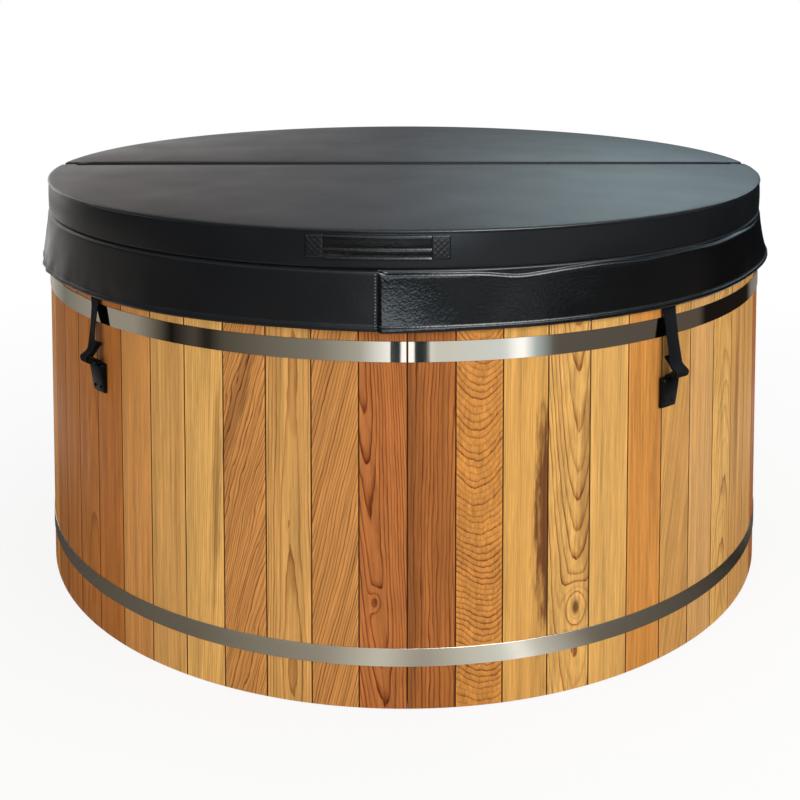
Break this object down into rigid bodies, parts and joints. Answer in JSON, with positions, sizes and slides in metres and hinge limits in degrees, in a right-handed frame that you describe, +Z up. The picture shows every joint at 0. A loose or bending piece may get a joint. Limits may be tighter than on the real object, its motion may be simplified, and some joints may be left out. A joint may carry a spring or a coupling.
{
  "type": "hot tub",
  "caption": "Round cedar stave hot tub in two steel hoops, with an inside bench, pipe fittings for an outside wood stove, a drain valve and a folding black cover.",
  "frame": {"origin": "on the ground at the middle of the tub, under the middle joist", "axes": "+Z up, -Y to the front with the cover's handle, +X to the right seen from the front"},
  "size_m": [1.9296, 2.0043, 0.9848],
  "materials": {
    "cedar_stave": "satin",
    "cedar_inside": "matte",
    "upper_band": "polished",
    "lower_band": "satin",
    "black_vinyl": "satin",
    "webbing": "matte",
    "clip_plastic": "satin",
    "brass": "satin",
    "lever_grip": "gloss"
  },
  "bodies": {
    "tub": {"stave_panel_01": "cedar_stave", "stave_panel_02": "cedar_stave", "stave_panel_03": "cedar_stave", "stave_panel_04": "cedar_stave", "stave_panel_05": "cedar_stave", "stave_panel_06": "cedar_stave", "stave_panel_07": "cedar_stave", "stave_panel_08": "cedar_stave", "stave_panel_09": "cedar_stave", "stave_panel_10": "cedar_stave", "stave_panel_11": "cedar_stave", "stave_panel_12": "cedar_stave", "floor_board_1": "cedar_inside", "floor_board_2": "cedar_inside", "floor_board_3": "cedar_inside", "floor_board_4": "cedar_inside", "floor_board_5": "cedar_inside", "floor_board_6": "cedar_inside", "floor_board_7": "cedar_inside", "floor_board_8": "cedar_inside", "floor_joist_1": "cedar_inside", "floor_joist_2": "cedar_inside", "floor_joist_3": "cedar_inside", "upper_hoop": "upper_band", "lower_hoop": "lower_band", "bench_seat_1": "cedar_inside", "bench_seat_2": "cedar_inside", "bench_seat_3": "cedar_inside", "bench_seat_4": "cedar_inside", "bench_support_1": "cedar_inside", "bench_support_2": "cedar_inside", "bench_support_3": "cedar_inside", "bench_support_4": "cedar_inside", "bench_support_5": "cedar_inside", "clip_base_front_left": "clip_plastic", "clip_base_front_right": "clip_plastic", "clip_base_rear_left": "clip_plastic", "clip_base_rear_right": "clip_plastic", "stove_port_upper": "brass", "stove_port_lower": "brass", "port_nut_upper": "brass", "port_nut_lower": "brass", "drain_valve": "brass", "drain_nut": "brass"},
    "cover_rear": {"rear_cover_panel": "black_vinyl", "rear_skirt": "black_vinyl", "cover_hinge_strip": "black_vinyl", "strap_rear_left": "webbing", "strap_rear_right": "webbing"},
    "cover_front": {"front_cover_panel": "black_vinyl", "front_skirt": "black_vinyl", "cover_handle": "black_vinyl", "strap_front_left": "webbing", "strap_front_right": "webbing"},
    "clip_front_left": {"clip_front_left": "clip_plastic"},
    "clip_front_right": {"clip_front_right": "clip_plastic"},
    "clip_rear_left": {"clip_rear_left": "clip_plastic"},
    "clip_rear_right": {"clip_rear_right": "clip_plastic"},
    "drain_lever": {"drain_lever": "lever_grip"}
  },
  "joints": [
    {"name": "cover_lift", "type": "slide", "parent": "tub", "child": "cover_rear", "axis": [0, 0, 1], "range_m": [0, 0.3]},
    {"name": "cover_fold", "type": "hinge", "parent": "cover_rear", "child": "cover_front", "pos_m": [0, 0, 0.9868], "axis": [-1, 0, 0], "range_deg": [0, 180], "deforming": ["cover_hinge_strip"]},
    {"name": "clip_front_left_release", "type": "slide", "parent": "cover_front", "child": "clip_front_left", "axis": [0, 0, 1], "range_m": [0, 0.03], "deforming": ["strap_front_left"]},
    {"name": "clip_front_right_release", "type": "slide", "parent": "cover_front", "child": "clip_front_right", "axis": [0, 0, 1], "range_m": [0, 0.03], "deforming": ["strap_front_right"]},
    {"name": "clip_rear_left_release", "type": "slide", "parent": "cover_rear", "child": "clip_rear_left", "axis": [0, 0, 1], "range_m": [0, 0.03], "deforming": ["strap_rear_left"]},
    {"name": "clip_rear_right_release", "type": "slide", "parent": "cover_rear", "child": "clip_rear_right", "axis": [0, 0, 1], "range_m": [0, 0.03], "deforming": ["strap_rear_right"]},
    {"name": "drain_lever_turn", "type": "hinge", "parent": "tub", "child": "drain_lever", "pos_m": [0, 0.99468, 0.18202], "axis": [0, 0.0886, -0.9961], "range_deg": [0, 90]}
  ]
}
